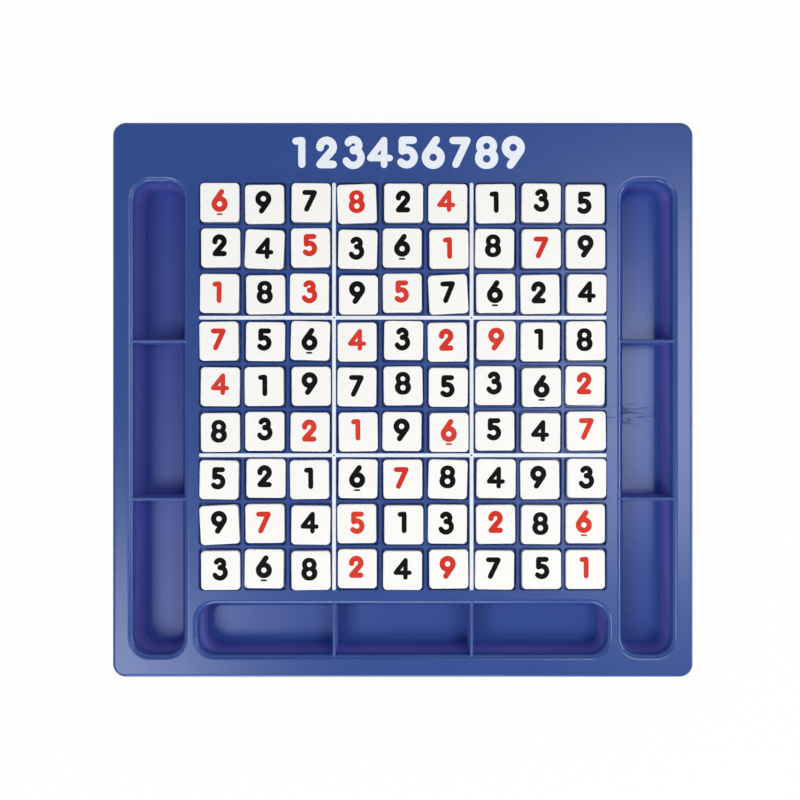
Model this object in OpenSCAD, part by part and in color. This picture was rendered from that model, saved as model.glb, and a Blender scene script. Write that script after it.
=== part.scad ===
// Sudoku board: one moulded tray with 81 loose number tiles and three storage troughs.
// The origin is at the middle of the underside, +Z is up and +Y points to the header strip.

/* [Tiles] */
// Width and depth of a number tile
tile_w = 19.5; // [18:0.5:22]
// Thickness of a tile
tile_h = 5.5; // [4.5:0.1:8]
// Radius of a tile's upright corners
tile_corner_r = 2; // [1.7:0.1:3]
// Rounding along a tile's top edge
tile_edge_r = 0.5; // [0.2:0.1:0.8]
// Wall left around the hollow in a tile's underside
tile_wall = 1.8; // [1.2:0.1:3]
// Plastic left above that hollow
tile_top = 2.4; // [1.6:0.1:3.5]

/* [Digits] */
// Height of the digit stamped into a tile
digit_h = 11.2; // [8:0.1:12]
// Depth of the stamp
stamp_depth = 0.25; // [0.1:0.05:0.6]
// How far the stamp sits above the middle of a tile
stamp_up = 0.9; // [0:0.1:1.5]
// How far the stamp sits left of the middle of a tile
stamp_left = 0.4; // [0:0.1:1]
// How far the stamp strays from that place
stamp_stray = 0.4; // [0:0.1:0.8]

/* [Cells] */
// Free room between a tile and its cell's wall, on each side
cell_clearance = 0.8; // [0.4:0.05:1]
// Depth of a cell below the deck
cell_depth = 3.5; // [2.5:0.1:4.4]
// Radius of a cell's upright corners
cell_corner_r = 1.6; // [1:0.1:1.7]
// Lead-in chamfer round a cell's mouth
cell_chamfer = 0.4; // [0.1:0.05:0.5]
// Width of the rib between two cells of one box
rib_w = 1.6; // [1.3:0.1:3]
// Width of the rib between two boxes
box_rib_w = 2.6; // [1.8:0.1:4]

/* [Troughs] */
// Width of a side trough at the deck
side_trough_w = 25.2; // [23:0.1:40]
// Width of the front trough at the deck
front_trough_w = 25; // [23:0.1:40]
// Depth of a trough below the deck
trough_depth = 25; // [18:0.5:35]
// How far a trough's wall leans in from its rim to its floor
trough_draft = 1.6; // [0.8:0.1:3]
// Radius of a trough's upright corners at the deck
trough_corner_r = 8.6; // [7.5:0.1:11]
// Rounding between a trough's wall and its floor
trough_floor_r = 3; // [1.5:0.1:5]
// Rounding of a trough's rim
trough_rim_r = 2.8; // [0.8:0.1:3.2]
// Wall of a trough
trough_wall = 1.6; // [1.2:0.1:2]
// How far a trough reaches past the cells at its end
trough_reach = 0.5; // [0.2:0.1:1.2]
// Thickness of a divider
divider_t = 1.8; // [1:0.1:2.5]
// How far a divider's crest lies below the deck
divider_drop = 0.3; // [0.1:0.1:3]

/* [Board] */
// Deck between the board's edge and a side trough
edge_band = 10.5; // [8:0.1:14]
// Deck between the board's front edge and the troughs
front_edge_band = 11.5; // [8:0.1:14]
// Deck between the cells and a side trough
side_band = 7.9; // [6.8:0.1:12]
// Deck between the cells and the front trough
front_band = 7.3; // [6.3:0.1:12]
// Header strip between the cells and the board's far edge
header_band = 30.5; // [26:0.1:45]
// Wall of the deck and the skirt
wall = 2; // [1.6:0.1:2.6]
// Radius of the board's upright corners
board_corner_r = 6.6; // [6:0.1:12]
// Rounding along the board's top edge
board_edge_r = 1.7; // [0.8:0.1:2.4]
// Height of the trough bottoms above the table
table_gap = 1.4; // [0.5:0.1:4]

/* [Prints] */
// Thickness of the white print
print_t = 0.15; // [0.1:0.05:0.3]
// Diameter of the bare dot where two box lines cross
crossing_dot_d = 0.9; // [0.5:0.1:1.2]
// Height of the header digits
header_digit_h = 16; // [10:0.5:18]
// Distance from one header digit to the next
header_pitch = 13.4; // [13:0.1:16]
// How far the header sits right of the board's middle
header_right = 1.9; // [0:0.1:4]

/* [Hidden] */
$fn = 64;
// One overrun serves every cut
overrun = 1;
// Least room kept between a turned tile and its cell
turn_gap = 0.05;
// Underline of a 6: its length, its thickness and its height above the middle, as shares of the
// digit's height
underline_shares = [0.2, 0.085, -0.61];
// Strokes of the digits 1 to 9, as shares of their height. An 8 has none.
stroke_shares = [0.225, 0.245, 0.23, 0.205, 0.235, 0.245, 0.23, 0, 0.245];
// Discs of an 8 and the holes in them: centre and radius, as shares of its height
disc_shares = [[-0.025, 0.205, 0.305], [0.025, 0.205, 0.305], [-0.03, -0.18, 0.335], [0.03, -0.18, 0.335]];
hole_shares = [[0, 0.2, 0.105], [0, -0.2, 0.12]];

// The finished grid, row by row from the header strip down, and the columns of its red tiles
solution = [
    [6, 9, 7, 8, 2, 4, 1, 3, 5],
    [2, 4, 5, 3, 6, 1, 8, 7, 9],
    [1, 8, 3, 9, 5, 7, 6, 2, 4],
    [7, 5, 6, 4, 3, 2, 9, 1, 8],
    [4, 1, 9, 7, 8, 5, 3, 6, 2],
    [8, 3, 2, 1, 9, 6, 5, 4, 7],
    [5, 2, 1, 6, 7, 8, 4, 9, 3],
    [9, 7, 4, 5, 1, 3, 2, 8, 6],
    [3, 6, 8, 2, 4, 9, 7, 5, 1]
];
red_columns = [
    [1, 4, 6], [3, 6, 8], [1, 3, 5],
    [1, 4, 6, 7], [1, 9], [3, 4, 6, 9],
    [5], [2, 4, 7, 9], [4, 6, 9]
];

// Tiles that lie clearly askew: row, column, and turn as a share of the most that a cell allows
askew_shares = [
    [1, 4, 0.36], [2, 2, -0.39], [2, 4, -0.21], [3, 6, 0.53], [3, 8, 0.18],
    [4, 3, -0.28], [7, 1, -0.18], [7, 6, -0.28], [8, 1, 0.5]
];
// Slight turn and shift of every other tile, as shares of what its cell allows
slight_turn_share = 0.11;
shift_share = 0.65;
// Steps in degrees that scatter the turn, the shift and the stamp from tile to tile
turn_step = 137;
shift_steps = [211, 163];
stamp_steps = [251, 173];

// Round strokes of the digits 1 to 9: centre and radius as shares of the digit's height, then the start
// and the sweep in degrees
arc_shares = [
    [],
    [[0, 0.17, 0.205, -35, 220]],
    [[0, 0.23, 0.175, -90, 245], [0, -0.16, 0.245, -155, 245]],
    [],
    [[0, -0.15, 0.235, -140, 265]],
    [[0, -0.155, 0.24, 0, 360]],
    [],
    [],
    [[0, 0.155, 0.24, 0, 360]]
];
// Point of a round stroke at an angle
function on_arc(arc, angle) = [arc[0] + arc[2] * cos(angle), arc[1] + arc[2] * sin(angle)];
function arc_point(d, angle) = on_arc(arc_shares[d - 1][0], angle);
// Straight strokes of the digits 1 to 9: both ends, as shares of the digit's height
line_shares = [
    [[[0.06, 0.375], [0.06, -0.375]], [[-0.13, 0.355], [0.06, 0.375]]],
    [[arc_point(2, -35), [-0.205, -0.375]], [[-0.205, -0.375], [0.205, -0.375]]],
    [],
    [[[0.13, 0.39], [0.13, -0.39]], [[0.13, 0.39], [-0.305, -0.175]], [[-0.305, -0.175], [0.31, -0.175]]],
    [[[-0.13, 0.385], [0.21, 0.385]], [[-0.13, 0.385], arc_point(5, 125)]],
    [[[0.09, 0.395], arc_point(6, 150)]],
    [[[-0.22, 0.375], [0.22, 0.375]], [[0.22, 0.375], [-0.13, -0.375]]],
    [],
    [[[-0.09, -0.395], arc_point(9, -30)]]
];
// Ends of a digit's strokes, each once where two strokes meet, and a touch slimmer than the strokes
end_share = 0.96;
near_share = 0.001;
function once(list) = [
    for (i = [0:1:len(list) - 1])
        if (len([for (j = [0:1:i - 1]) if (norm(list[i] - list[j]) < near_share) j]) == 0) list[i]
];
function arc_ends(arc) = arc[4] < 360 ? [on_arc(arc, arc[3]), on_arc(arc, arc[3] + arc[4])] : [];
function line_ends(d) = [for (line = line_shares[d - 1]) each line];
function round_ends(d) = [for (arc = arc_shares[d - 1]) each arc_ends(arc)];
end_shares = [for (d = [1:9]) once(concat(line_ends(d), round_ends(d)))];

// Cells and boxes
cell = tile_w + 2 * cell_clearance;
field_w = 9 * cell + 6 * rib_w + 2 * box_rib_w;
pitch = cell + rib_w;
box_pitch = 3 * cell + 2 * rib_w + box_rib_w;
function along(i) = (i % 3 - 1) * pitch + (floor(i / 3) - 1) * box_pitch;

// Board
board_h = trough_depth + trough_wall + table_gap;
board_w = field_w + 2 * (side_band + side_trough_w + edge_band);
board_d = header_band + field_w + front_band + front_trough_w + front_edge_band;
field_y = board_d / 2 - header_band - field_w / 2;
deck_z = board_h;
cell_z = deck_z - cell_depth;

// Troughs: the middle, the size and the dividers of each
front_trough_l = field_w + 2 * trough_reach;
front_trough_y = front_edge_band + front_trough_w / 2 - board_d / 2;
side_trough_low = front_edge_band - board_d / 2;
side_trough_high = field_y + field_w / 2 + trough_reach;
side_trough_l = side_trough_high - side_trough_low;
side_trough_x = board_w / 2 - edge_band - side_trough_w / 2;
side_trough_y = (side_trough_low + side_trough_high) / 2;
trough_floor_z = deck_z - trough_depth;
// Places of the side troughs' dividers along their length, from the front
side_divider_shares = [0.329, 0.663];
side_dividers = [for (s = side_divider_shares) (s - 1 / 2) * side_trough_l];
front_dividers = [-box_pitch / 2, box_pitch / 2];
trough_lean = atan(trough_draft / (trough_depth - trough_rim_r));
// The floor rounding is a touch tighter than its radius, so that it meets floor and wall at an angle
round_share = 0.99;
// Middle of the floor rounding, outwards from the corner centres
floor_round_x = trough_corner_r - trough_draft + trough_floor_r * (tan(trough_lean) - 1 / cos(trough_lean));

// Prints
box_line_w = box_rib_w - 2 * cell_chamfer;
header_y = board_d / 2 - header_band / 2;

// Play of a tile in its cell
most_turn = atan((cell_clearance - turn_gap) / (tile_w / 2 - tile_corner_r));
function number(p) = 9 * p[0] + p[1];
function askew(p) = [for (a = askew_shares) if (a[0] - 1 == p[0] && a[1] - 1 == p[1]) a[2]];
function turn_share(p) = len(askew(p)) > 0 ? askew(p)[0] : slight_turn_share * sin(turn_step * number(p));
function turn(p) = most_turn * turn_share(p);
function growth(angle) = (tile_w / 2 - tile_corner_r) * (cos(angle) + abs(sin(angle)) - 1);
function room(p) = shift_share * (cell_clearance - turn_gap - growth(turn(p)));
function shift(p) = room(p) * [sin(shift_steps[0] * number(p)), cos(shift_steps[1] * number(p))];
function tile_place(p) = [along(p[1]), field_y - along(p[0])] + shift(p);
function stray(p) = stamp_stray * [cos(stamp_steps[0] * number(p)), sin(stamp_steps[1] * number(p))];
function stamp_place(p) = [-stamp_left, stamp_up] + stray(p);

// Groups of tiles: each red tile alone, black tiles in pairs of the same number
function digit(p) = solution[p[0]][p[1]];
function is_red(p) = len([for (c = red_columns[p[0]]) if (c - 1 == p[1]) c]) > 0;
places = [for (row = [0:8]) for (column = [0:8]) [row, column]];
function black_places(d) = [for (p = places) if (digit(p) == d && !is_red(p)) p];
function pairs(list) = [for (i = [0:2:len(list) - 1]) [for (j = [i:min(i + 1, len(list) - 1)]) list[j]]];
red_groups = [for (p = places) if (is_red(p)) [p]];
black_groups = [for (d = [1:9]) each pairs(black_places(d))];
tile_groups = concat(red_groups, black_groups);
function spot(p) = str("_r", p[0] + 1, "c", p[1] + 1);
function spots(group) = len(group) == 1 ? spot(group[0]) : str(spot(group[0]), spot(group[1]));
function kind(group) = str(is_red(group[0]) ? "red_" : "black_", digit(group[0]));
function group_name(group) = str(kind(group), len(group) == 1 ? "_tile" : "_tiles", spots(group));

// A form on a rounded rectangle, from a half profile that starts at the corner centres
module rounded_form(w, d, r, low, high) {
    half_w = w / 2 - r;
    half_d = d / 2 - r;
    translate([-half_w, -half_d, low])
        cube([2 * half_w, 2 * half_d, high - low]);
    for (end = [0, 180])
        rotate(end) {
            translate([half_w, half_d, 0])
                rotate([90, 0, 0])
                    linear_extrude(2 * half_d)
                        children();
            rotate(90)
                translate([half_d, half_w, 0])
                    rotate([90, 0, 0])
                        linear_extrude(2 * half_w)
                            children();
            translate([half_w, half_d, 0])
                rotate_extrude(angle = 90)
                    children();
            translate([-half_w, half_d, 0])
                rotate(90)
                    rotate_extrude(angle = 90)
                        children();
        }
}

// Half profile of a block whose top edge is rounded
module block_profile(r, h, edge) {
    square([r, h - edge]);
    square([r - edge, h]);
    translate([r - edge, h - edge])
        circle(edge);
}

// A block with round upright corners and a rounded top edge
module rounded_block(w, d, h, r, edge) {
    rounded_form(w, d, r, 0, h)
        block_profile(r, h, edge);
}

// A straight block with round upright corners
module rounded_prism(w, d, h, r) {
    rounded_form(w, d, r, 0, h)
        square([r, h]);
}

// Quarter disc below and outside a centre
module floor_round(x, y, r) {
    intersection() {
        translate([x, y])
            circle(round_share * r);
        translate([x, y - r])
            square(r);
    }
}

// Half profile of a trough's inside, from its floor up to a rounded rim
module trough_inside_profile() {
    r = trough_corner_r;
    rim_z = trough_depth - trough_rim_r;
    top_z = trough_depth + overrun;
    polygon([
        [0, 0],
        [floor_round_x, 0],
        [floor_round_x + trough_floor_r * cos(trough_lean), trough_floor_r * (1 - sin(trough_lean))],
        [r, rim_z],
        [r, top_z],
        [0, top_z]
    ]);
    floor_round(floor_round_x, trough_floor_r, trough_floor_r);
    difference() {
        translate([r, rim_z])
            square([trough_rim_r, trough_rim_r + overrun]);
        translate([r + trough_rim_r, rim_z])
            circle(trough_rim_r);
    }
}

// Half profile of a trough's outside, one wall away from its inside
module trough_outside_profile() {
    outer_r = trough_floor_r + trough_wall;
    side_x = trough_corner_r + trough_wall / cos(trough_lean);
    high = trough_depth - wall / 2;
    polygon([
        [0, -trough_wall],
        [floor_round_x, -trough_wall],
        [floor_round_x + outer_r * cos(trough_lean), trough_floor_r - outer_r * sin(trough_lean)],
        [side_x, trough_depth - trough_rim_r],
        [side_x, high],
        [0, high]
    ]);
    floor_round(floor_round_x, trough_floor_r, outer_r);
}

// Upright divider across a trough, with a round crest
module divider(span) {
    top = trough_depth - divider_drop - divider_t / 2;
    translate([-span / 2, -divider_t / 2, -overrun])
        cube([span, divider_t, top + overrun]);
    translate([-span / 2, 0, top])
        rotate([0, 90, 0])
            cylinder(d = divider_t, h = span);
}

// Inside of a trough, cut apart by its dividers
module trough_inside(w, l, dividers) {
    difference() {
        rounded_form(w, l, trough_corner_r, 0, trough_depth + overrun)
            trough_inside_profile();
        for (y = dividers)
            translate([0, y, 0])
                divider(w + 2 * (trough_rim_r + overrun));
    }
}

// Outside of a trough, as a solid
module trough_outside(w, l) {
    rounded_form(w, l, trough_corner_r, -trough_wall, trough_depth - wall / 2)
        trough_outside_profile();
}

// Puts a trough's form at both sides, or at the front with its length along X
module at_sides() {
    for (side = [-1, 1])
        translate([side * side_trough_x, side_trough_y, trough_floor_z])
            children();
}

module at_front() {
    translate([0, front_trough_y, trough_floor_z])
        rotate(-90)
            children();
}

// Room of one cell, open at the top
module cell_room() {
    r = cell_corner_r;
    high = cell_depth + overrun;
    rounded_form(cell, cell, r, 0, high)
        polygon([
            [0, 0],
            [r, 0],
            [r, cell_depth - cell_chamfer],
            [r + cell_chamfer, cell_depth],
            [r + cell_chamfer, high],
            [0, high]
        ]);
}

// Deck and skirt, open below
module shell() {
    inner_h = deck_z - wall;
    difference() {
        rounded_block(board_w, board_d, deck_z, board_corner_r, board_edge_r);
        translate([0, 0, -overrun])
            rounded_prism(board_w - 2 * wall, board_d - 2 * wall, inner_h + overrun, board_corner_r - wall);
    }
}

// Pan under the cells
module pan() {
    pan_w = field_w + 2 * wall;
    translate([-pan_w / 2, field_y - pan_w / 2, cell_z - wall])
        cube([pan_w, pan_w, cell_depth + wall / 2]);
}

module tray() {
    color([0.16, 0.27, 0.55])
        difference() {
            union() {
                shell();
                pan();
                at_sides()
                    trough_outside(side_trough_w, side_trough_l);
                at_front()
                    trough_outside(front_trough_w, front_trough_l);
            }
            at_sides()
                trough_inside(side_trough_w, side_trough_l, side_dividers);
            at_front()
                trough_inside(front_trough_w, front_trough_l, front_dividers);
            for (p = places)
                translate([along(p[1]), field_y - along(p[0]), cell_z])
                    cell_room();
        }
}

// One straight box line with round ends, along X
module box_line() {
    length = field_w - box_line_w;
    translate([-length / 2, -box_line_w / 2, 0])
        cube([length, box_line_w, print_t]);
    for (side = [-1, 1])
        translate([side * length / 2, 0, 0])
            cylinder(d = box_line_w, h = print_t);
}

module box_lines() {
    half = box_pitch / 2;
    color([0.93, 0.96, 1])
        translate([0, field_y, deck_z])
            difference() {
                for (side = [-1, 1]) {
                    translate([0, side * half, 0])
                        box_line();
                    translate([side * half, 0, 0])
                        rotate(90)
                            box_line();
                }
                for (x = [-half, half])
                    for (y = [-half, half])
                        translate([x, y, -overrun])
                            cylinder(d = crossing_dot_d, h = print_t + 2 * overrun);
            }
}

// Straight stroke without its round ends
module straight_stroke(from, to, t, h) {
    reach = to - from;
    translate([from[0], from[1], 0])
        rotate(atan2(reach[1], reach[0]))
            translate([0, -t / 2, 0])
                cube([norm(reach), t, h]);
}

// Round stroke without its round ends, or a whole ring
module round_stroke(middle, r, start, sweep, t, h) {
    translate([middle[0], middle[1], 0])
        rotate(start)
            rotate_extrude(angle = sweep)
                translate([r - t / 2, 0])
                    square([t, h]);
}

// Round ends of strokes
module stroke_ends(points, t, h) {
    for (point = points)
        translate([point[0], point[1], 0])
            cylinder(d = end_share * t, h = h);
}

// Upright cylinders from a list of centres and radii
module discs(shares, size, low, high) {
    for (s = shares)
        translate([size * s[0], size * s[1], low])
            cylinder(r = size * s[2], h = high - low);
}

// An 8: four discs that run together, with two holes
module eight(size, h) {
    difference() {
        discs(disc_shares, size, 0, h);
        discs(hole_shares, size, -overrun, h + overrun);
    }
}

// One digit, centred, as a plate of thickness h
module digit_form(d, size, h) {
    stroke = size * stroke_shares[d - 1];
    for (s = line_shares[d - 1])
        straight_stroke(size * s[0], size * s[1], stroke, h);
    for (s = arc_shares[d - 1])
        round_stroke(size * [s[0], s[1]], size * s[2], s[3], s[4], stroke, h);
    stroke_ends(size * end_shares[d - 1], stroke, h);
    if (d == 8)
        eight(size, h);
}

// Short line under a 6, which tells it from a 9
module underline(size, h) {
    half = size * underline_shares[0] / 2;
    y = size * underline_shares[2];
    t = size * underline_shares[1];
    straight_stroke([-half, y], [half, y], t, h);
    stroke_ends([[-half, y], [half, y]], t, h);
}

module header_digits() {
    color([0.93, 0.96, 1])
        for (d = [1:9])
            translate([header_right + (d - 5) * header_pitch, header_y, deck_z])
                digit_form(d, header_digit_h, print_t);
}

// A tile with a hollow underside and its digit stamped into the top
module tile(p) {
    core_w = tile_w - 2 * tile_wall;
    core_r = tile_corner_r / 2;
    difference() {
        rounded_block(tile_w, tile_w, tile_h, tile_corner_r, tile_edge_r);
        translate([0, 0, -overrun])
            rounded_prism(core_w, core_w, tile_h - tile_top + overrun, core_r);
        translate(concat(stamp_place(p), tile_h - stamp_depth)) {
            digit_form(digit(p), digit_h, stamp_depth + overrun);
            if (digit(p) == 6)
                underline(digit_h, stamp_depth + overrun);
        }
    }
}

module tile_group(group) {
    color([0.97, 0.97, 0.95])
        for (p = group)
            translate(concat(tile_place(p), cell_z))
                rotate(turn(p))
                    tile(p);
}

tray();
box_lines();
header_digits();
for (group = tile_groups)
    tile_group(group);
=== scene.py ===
"""Looks of a sudoku board: a blue moulded tray, white number tiles, stamped ink and white print."""
import math

import bmesh
import bpy
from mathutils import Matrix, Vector


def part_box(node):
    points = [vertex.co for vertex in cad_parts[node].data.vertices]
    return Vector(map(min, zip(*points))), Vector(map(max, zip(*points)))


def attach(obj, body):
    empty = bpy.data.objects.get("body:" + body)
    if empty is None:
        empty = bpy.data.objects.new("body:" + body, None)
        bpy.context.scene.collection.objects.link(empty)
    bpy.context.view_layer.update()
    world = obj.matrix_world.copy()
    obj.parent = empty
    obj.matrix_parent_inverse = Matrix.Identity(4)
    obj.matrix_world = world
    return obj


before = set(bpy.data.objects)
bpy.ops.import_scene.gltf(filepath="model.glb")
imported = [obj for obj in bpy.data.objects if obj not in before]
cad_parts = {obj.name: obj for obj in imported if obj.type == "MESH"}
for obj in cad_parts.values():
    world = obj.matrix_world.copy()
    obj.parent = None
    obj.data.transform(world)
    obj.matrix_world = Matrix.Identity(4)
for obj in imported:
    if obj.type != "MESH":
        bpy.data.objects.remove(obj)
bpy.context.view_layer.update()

MM = 0.001

# Places of the tray in the frame, and the skirt that keeps the deck's blue, with the band where that ends
TRAY_LOW, TRAY_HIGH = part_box("tray")
DECK_Z = TRAY_HIGH.z
SKIRT = 4 * MM
SKIRT_BAND = 1 * MM

# Where the troughs' painted light and shade, and their roughness and crown, begin and where they are
# full: by depth below the deck, and along X
SUNK_LIGHT_AND_GLOSS_DEPTHS = (1 * MM, 6 * MM)
WALL_SHADE_DEPTHS = (3 * MM, 11 * MM)
LEFT_SHADE_AND_GLOSS_PLACES = (0.6 * TRAY_LOW.x, 0.8 * TRAY_LOW.x)
# How much of the walls' violet painted shade stays on those that face the front light
LIT_WALL_SHADE_SHARE = 0.35
# How much a trough floor's crown leans its surface, per metre from the middle
FLOOR_CROWN = 0.5

# An even grid of squares with one tile in each, about the middle of the box lines
CELLS = 9
CELL_PITCH = 22.95 * MM
LINES_LOW, LINES_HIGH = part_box("box_lines")
FIELD_MIDDLE = (LINES_LOW + LINES_HIGH) / 2
FIELD_REACH = CELLS * CELL_PITCH / 2
FIELD_CORNER = (FIELD_MIDDLE.x - FIELD_REACH, FIELD_MIDDLE.y - FIELD_REACH, 0)

# The stamped digits and the ink in them
STAMP_DEPTH = 0.25 * MM
INK_THICKNESS = 0.12 * MM

# Tray: how wide its features are, and how high its grain and its waves stand
TRAY_GRAIN = 0.35 * MM
TRAY_GRAIN_HEIGHT = 0.002 * MM
TRAY_WAVES = 16 * MM
TRAY_WAVES_HEIGHT = 0.03 * MM
TRAY_CLOUDS = 90 * MM
TRAY_SPECKS = 1.2 * MM
TRAY_DULL_SPOTS = 30 * MM
SCUFFED_PATCHES = 45 * MM
WORN_SPOTS = 6 * MM
# Tray: two sets of scratches, each at its own angle, with the noise level that a line starts at,
# and how far above that level the line is full
SCRATCHES = [
    {"turn": 0.4, "length": 30 * MM, "width": 0.25 * MM, "least": 0.66},
    {"turn": -0.9, "length": 22 * MM, "width": 0.2 * MM, "least": 0.67},
]
SCRATCH_RISE = 0.05
# Tray: where something rubbed across the right trough, how far that reaches, and one stroke's size
RUB_PLACE = (116 * MM, -7.5 * MM, 0)
RUB_REACH = (22 * MM, 7 * MM, 1)
RUB_STROKE = (10 * MM, 1.5 * MM, 1)
# Tray: how strongly each mark shows in the colour
CLOUD_SHARE = 0.08
SCRATCH_SHARE = 0.18
WORN_SHARE = 0.05
STROKE_SHARE = 0.36
# Tray: the deck's roughness, and what each place or mark adds to it or takes off
DECK_ROUGHNESS = 0.2
SUNK_ROUGHER = 0.6
FLAT_SMOOTHER = 0.56
LEFT_ROUGHER = 0.1
SPOT_ROUGHER = 0.05
SCUFF_ROUGHER = 0.15
STROKE_ROUGHER = 0.2

# Tiles: how wide their features are, and how high the grain and the waves stand
TILE_GRAIN = 0.3 * MM
TILE_GRAIN_HEIGHT = 0.003 * MM
TILE_WAVES = 9 * MM
TILE_WAVES_HEIGHT = 0.02 * MM
TILE_SMUDGES = 7 * MM
TILE_DULL_SPOTS = 5 * MM
# Tiles: how much a tile's own tone, a smudge or an edge greys the white
OWN_SHARE = 0.08
SMUDGE_SHARE = 0.08
EDGE_SHARE = 0.3
# Tiles: the least roughness, and what dull spots and smudges add to it
TILE_ROUGHNESS = 0.36
DULL_ROUGHER = 0.12
SMUDGE_ROUGHER = 0.1

# Ink and print: how wide their features are, and how high the pebbles and the film stand
INK_MOTTLE = 1.6 * MM
INK_PEBBLES = 0.4 * MM
INK_PEBBLES_HEIGHT = 0.01 * MM
PRINT_THIN_SPOTS = 2.2 * MM
PRINT_PINHOLES = 0.5 * MM
PRINT_FILM = 0.5 * MM
PRINT_FILM_HEIGHT = 0.01 * MM
# Ink and print: how much each mark shows in the colour
MOTTLE_SHARE = 0.5
TONE_SHARE = 0.5
THIN_SHARE = 0.16
PINHOLE_SHARE = 0.25
# Ink and print: the least roughness, and what mottle and thin spots add to it
INK_ROUGHNESS = 0.42
MOTTLE_ROUGHER = 0.15
PRINT_ROUGHNESS = 0.4
THIN_ROUGHER = 0.2

# The photograph's frame and the board's edges in it, in pixels
FRAME_PX = 800
BOARD_LEFT_PX, BOARD_RIGHT_PX = 113.1, 692.5
BOARD_TOP_PX, BOARD_BOTTOM_PX = 123.4, 676.1

# Camera straight above the board, whose outline is widest a little below the deck
CAMERA_ABOVE_DECK = 0.65
EDGE_BELOW_DECK = 1.7 * MM
SENSOR = 36

# Light: how bright a white card that faces each source renders
SKY_LEVEL = 0.395
SOFT_BOXES = {
    "right_box": {"place": (0.615, 0.02, 2.03), "size": (0.7, 0.58), "level": 0.2},
    "left_box": {"place": (-0.78, -0.67, 2.0), "size": (0.64, 0.72), "level": 0.27},
    "right_side": {"place": (0.95, -0.03, 0.28), "size": (0.48, 0.24), "level": 0.3},
    "front_side": {"place": (-0.1, -0.95, 0.3), "size": (0.48, 0.24), "level": 0.32},
}
# Surround: how bright the ceiling shows, and how steeply upward it begins and is full
CEILING_LEVEL = 0.2
CEILING_RISE = (0.4, 0.8)
# Floor: how far it reaches, and how much of it shows as plain white
FLOOR_REACH = 12
FLOOR_GLOW = 0.95

# Colours as they show on a screen
DECK_BLUE = (45, 74, 145)
# Painted light: the trough floors a lighter blue than the deck, making up for the light their walls block
FLOOR_PAINTED_LIGHT_BLUE = (52, 86, 170)
# Painted shade and light: a lighter violet on the troughs' upright walls that stands in for their shaded
# colour
WALL_SHADE_VIOLET = (114, 114, 203)
# Painted shade: the left trough's floor a more violet blue, standing in for its shaded colour
LEFT_SHADE_VIOLET = (58, 76, 162)
RUBBED_BLUE = (84, 108, 168)
STROKE_BLUE = (34, 46, 104)
TILE_WHITE = (253, 252, 249)
TILE_GREY = (230, 231, 234)
RED_INK = (212, 46, 36)
RED_FADED = (224, 70, 52)
BLACK_INK = (7, 7, 6)
BLACK_FADED = (20, 20, 19)
PRINT_WHITE = (238, 245, 254)
FLOOR_WHITE = (244, 244, 244)
# Colours of light, as the shader takes them
PLAIN_WHITE = (1, 1, 1, 1)
BLUE_SHINE = (0.82, 0.88, 1, 1)


def linear(colour):
    """A screen colour of 0 to 255 as the shader's linear colour."""
    parts = [c / 255 for c in colour]
    return tuple(c / 12.92 if c <= 0.04045 else ((c + 0.055) / 1.055) ** 2.4 for c in parts) + (1.0,)


class Wire:
    """One output of a finish's nodes. Sums and products of wires add their Math nodes."""

    def __init__(self, finish, socket):
        self.finish = finish
        self.socket = socket

    def joined(self, operation, first, second):
        """A Math node of two wires, or of a wire and a number."""
        return self.finish.node("ShaderNodeMath", {"operation": operation}, {0: first, 1: second})

    def __add__(self, other):
        return self.joined("ADD", self, other)

    def __radd__(self, other):
        return self.joined("ADD", other, self)

    def __sub__(self, other):
        return self.joined("SUBTRACT", self, other)

    def __rsub__(self, other):
        return self.joined("SUBTRACT", other, self)

    def __mul__(self, other):
        return self.joined("MULTIPLY", self, other)

    def __rmul__(self, other):
        return self.joined("MULTIPLY", other, self)


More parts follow.
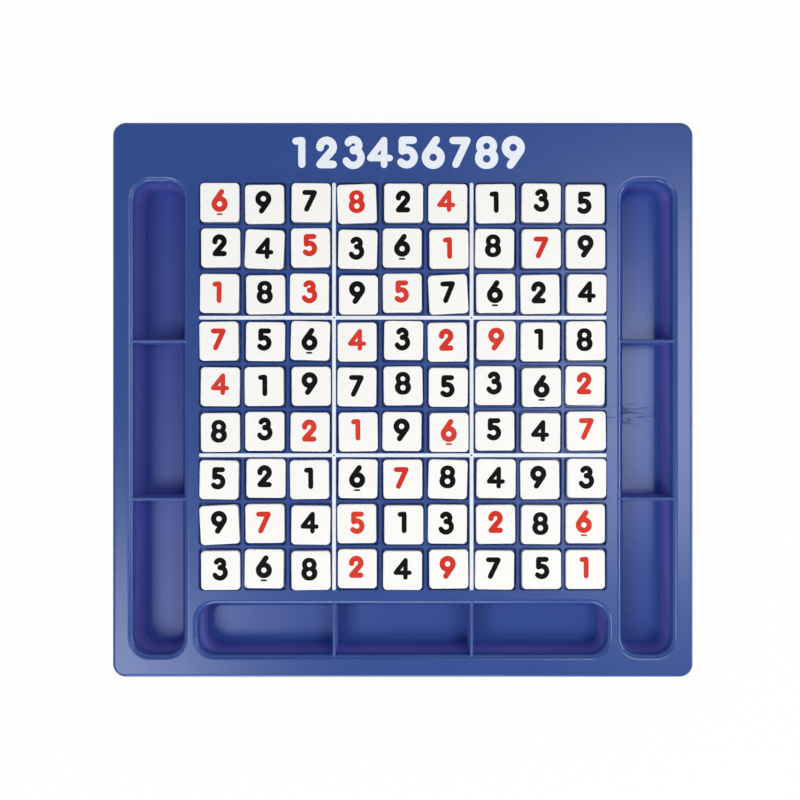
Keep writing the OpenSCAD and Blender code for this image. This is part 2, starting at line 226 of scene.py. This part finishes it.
class Nodes:
    """A tree of shader nodes, with the nodes that the finishes share."""

    def __init__(self, tree):
        self.tree = tree

    def node(self, kind, settings=None, sockets=None, out=0):
        """Adds a node: its settings first, then the values or wires of its sockets."""
        node = self.tree.nodes.new(kind)
        for name, value in (settings or {}).items():
            setattr(node, name, value)
        for name, value in (sockets or {}).items():
            if isinstance(value, Wire):
                self.tree.links.new(value.socket, node.inputs[name])
            else:
                node.inputs[name].default_value = value
        return Wire(self, node.outputs[out])

    def vector(self, operation, *inputs, out=0):
        """A sum or another step of whole vectors."""
        return self.node("ShaderNodeVectorMath", {"operation": operation}, dict(enumerate(inputs)), out)

    def part(self, vector, axis):
        """A vector's number along one axis."""
        return self.node("ShaderNodeSeparateXYZ", None, {0: vector}, out=axis)

    def place(self):
        """The point on the piece, in the frame at rest."""
        return self.node("ShaderNodeTexCoord", out="Object")

    def along(self, axis):
        """How far the point lies along an axis."""
        return self.part(self.place(), axis)

    def normal(self):
        """The direction that the surface faces."""
        return self.node("ShaderNodeNewGeometry", out="Normal")

    def facing(self, axis):
        """1 where the surface faces along an axis, and -1 where it faces the other way."""
        return self.part(self.normal(), axis)

    def within(self, axis, reach):
        """1 nearer to the board's middle than a reach along an axis, and 0 on the skirt outside it."""
        away = self.node("ShaderNodeMath", {"operation": "ABSOLUTE"}, {0: self.along(axis)})
        return self.ramp(away, reach, reach - SKIRT_BAND)

    def crowned(self, rate):
        """The surface's own direction, leaned away from the board's middle line at a rate per metre."""
        lean = self.node("ShaderNodeCombineXYZ", None, {"Y": rate * self.along("Y")})
        return self.vector("NORMALIZE", self.vector("ADD", self.normal(), lean))

    def stretched(self, scales, turn=0.0):
        """The place, turned about Z and stretched, for grain that runs one way."""
        turned = {"Vector": self.place(), "Rotation": (0, 0, turn), "Scale": scales}
        return self.node("ShaderNodeMapping", {"vector_type": "TEXTURE"}, turned)

    def noise(self, size, detail, roughness=0.5, at=None):
        """Soft noise whose features are about one size across, in metres."""
        features = {"Scale": 1 / size, "Detail": detail, "Roughness": roughness}
        return self.node("ShaderNodeTexNoise", None, {"Vector": at or self.place(), **features})

    def relief(self, size, height, detail, over=None):
        """A bump of soft noise, given how wide and how high its features are, over another surface."""
        sockets = {"Height": self.noise(size, detail), "Distance": height, "Strength": 1.0}
        if over:
            sockets["Normal"] = over
        return self.node("ShaderNodeBump", None, sockets)

    def ramp(self, value, low, high, start=0.0, end=1.0):
        """A smooth step of a value from low to high."""
        sockets = {"Value": value, "From Min": low, "From Max": high, "To Min": start, "To Max": end}
        return self.node("ShaderNodeMapRange", {"interpolation_type": "SMOOTHSTEP"}, sockets)

    def blend(self, share, first, second):
        """A colour between two others."""
        return self.node("ShaderNodeMix", {"data_type": "RGBA"}, {0: share, 6: first, 7: second}, out=2)

    def shown(self):
        """1 for rays that show the background: straight, in a reflection or through glass."""
        rays = ["Is Camera Ray", "Is Glossy Ray", "Is Transmission Ray"]
        camera, glossy, through = (self.node("ShaderNodeLightPath", out=ray) for ray in rays)
        clamped = {"operation": "ADD", "use_clamp": True}
        return self.node("ShaderNodeMath", clamped, {0: camera + glossy, 1: through})


class Finish(Nodes):
    """A material and the shader that its nodes feed."""

    def __init__(self, name, constants):
        self.material = bpy.data.materials.new(name)
        self.material.use_nodes = True
        super().__init__(self.material.node_tree)
        self.shader = self.tree.nodes["Principled BSDF"]
        for socket, value in constants.items():
            self.shader.inputs[socket].default_value = value

    def feed(self, **wires):
        """Leads wires to the shader's sockets, whose names are written with underscores."""
        for name, wire in wires.items():
            self.tree.links.new(wire.socket, self.shader.inputs[name.replace("_", " ")])


def below_deck(finish, depths):
    """0 on the deck and the skirt, rising to 1 in the cells and troughs from one depth to another."""
    start, full = depths
    inside = finish.within("X", TRAY_HIGH.x - SKIRT) * finish.within("Y", TRAY_HIGH.y - SKIRT)
    return inside * finish.ramp(finish.along("Z"), DECK_Z - start, DECK_Z - full)


def scratches(finish, turn, length, width, least):
    """Thin straight lines that run one way, 1 on a line and 0 elsewhere."""
    line = finish.noise(1, detail=2, roughness=0.6, at=finish.stretched((length, width, 1), turn))
    return finish.ramp(line, least, least + SCRATCH_RISE)


def scuffs(finish):
    """Patches of fine scratches and spots of wear along the edges."""
    patch = finish.ramp(finish.noise(SCUFFED_PATCHES, detail=3), 0.52, 0.72)
    first, second = (scratches(finish, **values) for values in SCRATCHES)
    edge = finish.ramp(finish.facing("Z"), 0.98, 0.6)
    worn = edge * finish.ramp(finish.noise(WORN_SPOTS, detail=4), 0.45, 0.65)
    return SCRATCH_SHARE * patch * (first + second) + WORN_SHARE * worn


def rub_strokes(finish):
    """Wavy strokes across the right trough, 1 on a stroke and 0 elsewhere."""
    away = finish.vector("SUBTRACT", finish.place(), RUB_PLACE)
    share = finish.vector("LENGTH", finish.vector("DIVIDE", away, RUB_REACH), out="Value")
    stroke = finish.noise(1, detail=3, roughness=0.6, at=finish.stretched(RUB_STROKE))
    return finish.ramp(share, 1, 0.3) * finish.ramp(stroke, 0.48, 0.6)


def blue_with_painted_light_and_shade(finish, sunk, left):
    """The deck's blue, painted light on the trough floors, painted violet shade on the left trough's
    floor and on the troughs' upright walls, and faint clouds.
    """
    # Painted light on the trough floors, with painted violet shade on the left trough's floor
    floor = finish.blend(left, linear(FLOOR_PAINTED_LIGHT_BLUE), linear(LEFT_SHADE_VIOLET))
    body = finish.blend(sunk, linear(DECK_BLUE), floor)
    # Painted shade: the troughs' upright walls turn violet below a depth, less so where they face the
    # front light
    low = below_deck(finish, WALL_SHADE_DEPTHS)
    upright = finish.ramp(finish.facing("Z"), 0.55, 0.15)
    shaded = finish.ramp(finish.facing("Y"), -0.8, -0.2, start=LIT_WALL_SHADE_SHARE)
    body = finish.blend(low * upright * shaded, body, linear(WALL_SHADE_VIOLET))
    cloud = finish.noise(TRAY_CLOUDS, detail=2)
    speck = finish.noise(TRAY_SPECKS, detail=2)
    faded = finish.ramp(0.8 * cloud + 0.2 * speck, 0.3, 0.7, end=CLOUD_SHARE)
    return finish.blend(faded, body, linear(RUBBED_BLUE))


def tray_plastic():
    """Glossy blue plastic: fine grain, slow waves, painted violet shade and painted light in the troughs,
    and rubbed scuffs.
    """
    finish = Finish("tray_plastic", {"IOR": 1.5, "Specular Tint": BLUE_SHINE})
    # Below the deck: where the floors' painted light, their extra roughness and their crown apply
    sunk = below_deck(finish, SUNK_LIGHT_AND_GLOSS_DEPTHS)
    # The left trough: where its floor's painted shade and extra roughness apply
    left = finish.ramp(finish.along("X"), *LEFT_SHADE_AND_GLOSS_PLACES)
    flat = finish.ramp(finish.facing("Z"), 0.99, 0.9995)
    scuffed = scuffs(finish)
    strokes = rub_strokes(finish)

    body = blue_with_painted_light_and_shade(finish, sunk, left)
    body = finish.blend(scuffed, body, linear(RUBBED_BLUE))
    body = finish.blend(STROKE_SHARE * strokes, body, linear(STROKE_BLUE))

    crown = finish.crowned(sunk * flat * FLOOR_CROWN)
    grain = finish.relief(TRAY_GRAIN, TRAY_GRAIN_HEIGHT, detail=2, over=crown)
    waves = finish.relief(TRAY_WAVES, TRAY_WAVES_HEIGHT, detail=1, over=grain)

    rough = DECK_ROUGHNESS + SPOT_ROUGHER * finish.noise(TRAY_DULL_SPOTS, detail=4)
    rough = rough + sunk * (SUNK_ROUGHER - FLAT_SMOOTHER * flat + LEFT_ROUGHER * left)
    rough = rough + SCUFF_ROUGHER * scuffed + STROKE_ROUGHER * strokes
    finish.feed(Base_Color=body, Roughness=rough, Normal=waves)
    return finish.material


def own_tone(finish):
    """A tone for each cell of the field, from 0 to 1."""
    counted = finish.vector("SUBTRACT", finish.place(), FIELD_CORNER)
    cell = finish.vector("SNAP", counted, (CELL_PITCH, CELL_PITCH, CELL_PITCH))
    return finish.node("ShaderNodeTexWhiteNoise", None, {"Vector": cell})


def tile_plastic():
    """Satin white plastic, each tile a little different, with faint smudges and greyer edges."""
    finish = Finish("tile_plastic", {"IOR": 1.48, "Specular IOR Level": 0.2})
    smudge = finish.ramp(finish.noise(TILE_SMUDGES, detail=5, roughness=0.6), 0.5, 0.75)
    edge = finish.ramp(finish.facing("Z"), 0.99, 0.5)
    grey = OWN_SHARE * own_tone(finish) + SMUDGE_SHARE * smudge + EDGE_SHARE * edge
    body = finish.blend(grey, linear(TILE_WHITE), linear(TILE_GREY))
    grain = finish.relief(TILE_GRAIN, TILE_GRAIN_HEIGHT, detail=2)
    waves = finish.relief(TILE_WAVES, TILE_WAVES_HEIGHT, detail=1, over=grain)
    dull = finish.noise(TILE_DULL_SPOTS, detail=4)
    rough = TILE_ROUGHNESS + DULL_ROUGHER * dull + SMUDGE_ROUGHER * smudge
    finish.feed(Base_Color=body, Roughness=rough, Normal=waves)
    return finish.material


def stamped_ink(name, colour, faded):
    """Ink in a stamped digit: mottled, a little thin in places, with a fine pebbled surface."""
    finish = Finish(name, {"IOR": 1.45, "Specular IOR Level": 0.08})
    mottle = finish.ramp(finish.noise(INK_MOTTLE, detail=4, roughness=0.6), 0.35, 0.75)
    pale = MOTTLE_SHARE * mottle + TONE_SHARE * own_tone(finish)
    body = finish.blend(pale, linear(colour), linear(faded))
    pebbles = finish.relief(INK_PEBBLES, INK_PEBBLES_HEIGHT, detail=3)
    finish.feed(Base_Color=body, Roughness=INK_ROUGHNESS + MOTTLE_ROUGHER * mottle, Normal=pebbles)
    return finish.material


def white_print():
    """Thin white print, a little blue where the tray shows through its pinholes."""
    finish = Finish("white_print", {"IOR": 1.45})
    thin = finish.ramp(finish.noise(PRINT_THIN_SPOTS, detail=5, roughness=0.65), 0.52, 0.8)
    pinhole = finish.ramp(finish.noise(PRINT_PINHOLES, detail=2), 0.68, 0.76)
    bare = THIN_SHARE * thin + PINHOLE_SHARE * pinhole
    body = finish.blend(bare, linear(PRINT_WHITE), linear(RUBBED_BLUE))
    film = finish.relief(PRINT_FILM, PRINT_FILM_HEIGHT, detail=3)
    finish.feed(Base_Color=body, Roughness=PRINT_ROUGHNESS + THIN_ROUGHER * thin, Normal=film)
    return finish.material


def add_object(name, data):
    """A new object in the scene."""
    thing = bpy.data.objects.new(name, data)
    bpy.context.scene.collection.objects.link(thing)
    return thing


def ink_film(node, tile, material):
    """A film of ink that fills the lower half of a tile node's stamped digits."""
    floor_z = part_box(node)[1].z - STAMP_DEPTH
    tolerance = STAMP_DEPTH / 10
    film = bmesh.new()
    film.from_mesh(tile.data)
    outside = [f for f in film.faces if any(abs(v.co.z - floor_z) > tolerance for v in f.verts)]
    bmesh.ops.delete(film, geom=outside, context="FACES")
    bmesh.ops.remove_doubles(film, verts=film.verts, dist=tolerance / 10)
    top = bmesh.ops.extrude_face_region(film, geom=film.faces[:])
    raised = [v for v in top["geom"] if isinstance(v, bmesh.types.BMVert)]
    bmesh.ops.translate(film, verts=raised, vec=(0, 0, INK_THICKNESS))
    bmesh.ops.recalc_face_normals(film, faces=film.faces)
    mesh = bpy.data.meshes.new("ink_" + node)
    film.to_mesh(mesh)
    film.free()
    mesh.materials.append(material)
    piece = add_object("ink_" + node, mesh)
    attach(piece, node)


def dress_nodes():
    """Gives every node its finish, and every tile its ink."""
    blue = tray_plastic()
    white = tile_plastic()
    printed = white_print()
    inks = {
        "red": stamped_ink("red_ink", RED_INK, RED_FADED),
        "black": stamped_ink("black_ink", BLACK_INK, BLACK_FADED),
    }
    finishes = {"tray": blue, "box_lines": printed, "header_digits": printed}
    for name, node in sorted(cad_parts.items()):
        node.data.materials.clear()
        node.data.materials.append(finishes.get(name, white))
        if name not in finishes:
            ink = name.split("_")[0]
            ink_film(name, node, inks[ink])


def stage():
    """A plain white floor that keeps the board's shadow."""
    matte = {"Base Color": linear(FLOOR_WHITE), "Roughness": 1.0, "Specular IOR Level": 0.0}
    finish = Finish("floor_white", matte)
    lit = Wire(finish, finish.shader.outputs[0])
    glow = finish.node("ShaderNodeEmission", None, {"Color": PLAIN_WHITE, "Strength": 1.0})
    share = finish.shown() * FLOOR_GLOW
    mixed = finish.node("ShaderNodeMixShader", None, {0: share, 1: lit, 2: glow})
    output = finish.tree.nodes["Material Output"]
    finish.tree.links.new(mixed.socket, output.inputs["Surface"])

    corner_signs = [(-1, -1), (1, -1), (1, 1), (-1, 1)]
    corners = [(x * FLOOR_REACH, y * FLOOR_REACH, TRAY_LOW.z) for x, y in corner_signs]
    mesh = bpy.data.meshes.new("floor")
    mesh.from_pydata(corners, [], [(0, 1, 2, 3)])
    mesh.materials.append(finish.material)
    add_object("floor", mesh)


def surround():
    """White walls under a dimmer ceiling where the background shows, and a plain level as light."""
    world = bpy.data.worlds.new("surround")
    bpy.context.scene.world = world
    world.use_nodes = True
    sky = Nodes(world.node_tree)
    upward = sky.part(sky.node("ShaderNodeTexCoord", out="Generated"), "Z")
    wall = sky.ramp(upward, *CEILING_RISE, start=1, end=CEILING_LEVEL)
    shown = sky.shown()
    level = shown * wall + (1 - shown) * SKY_LEVEL
    background = sky.tree.nodes["Background"]
    background.inputs["Color"].default_value = PLAIN_WHITE
    sky.tree.links.new(level.socket, background.inputs["Strength"])


def soft_box(name, place, size, level):
    """A soft box that faces the board and lights a white card there to a level."""
    away = Vector(place) - Vector((0, 0, DECK_Z))
    lamp = bpy.data.lights.new(name, "AREA")
    lamp.shape = "RECTANGLE"
    lamp.size, lamp.size_y = size
    lamp.energy = math.pi ** 2 * away.length_squared * level
    box = add_object(name, lamp)
    box.location = place
    box.rotation_euler = away.to_track_quat("Z", "Y").to_euler()


def camera():
    """A camera straight above, framed so that the board's edges fall on their pixels."""
    metres_per_px = (TRAY_HIGH.x - TRAY_LOW.x) / (BOARD_RIGHT_PX - BOARD_LEFT_PX)
    across = (BOARD_LEFT_PX + BOARD_RIGHT_PX - FRAME_PX) / 2 * metres_per_px
    down = (BOARD_TOP_PX + BOARD_BOTTOM_PX - FRAME_PX) / 2 * metres_per_px
    lens = bpy.data.cameras.new("camera")
    lens.sensor_width = SENSOR
    lens.lens = SENSOR * (CAMERA_ABOVE_DECK + EDGE_BELOW_DECK) / (FRAME_PX * metres_per_px)
    middle = (TRAY_LOW + TRAY_HIGH) / 2
    eye = add_object("camera", lens)
    eye.location = (middle.x - across, middle.y + down, DECK_Z + CAMERA_ABOVE_DECK)
    bpy.context.scene.camera = eye


bpy.context.scene.view_settings.view_transform = "Standard"
dress_nodes()
stage()
surround()
for name, values in SOFT_BOXES.items():
    soft_box(name, **values)
camera()
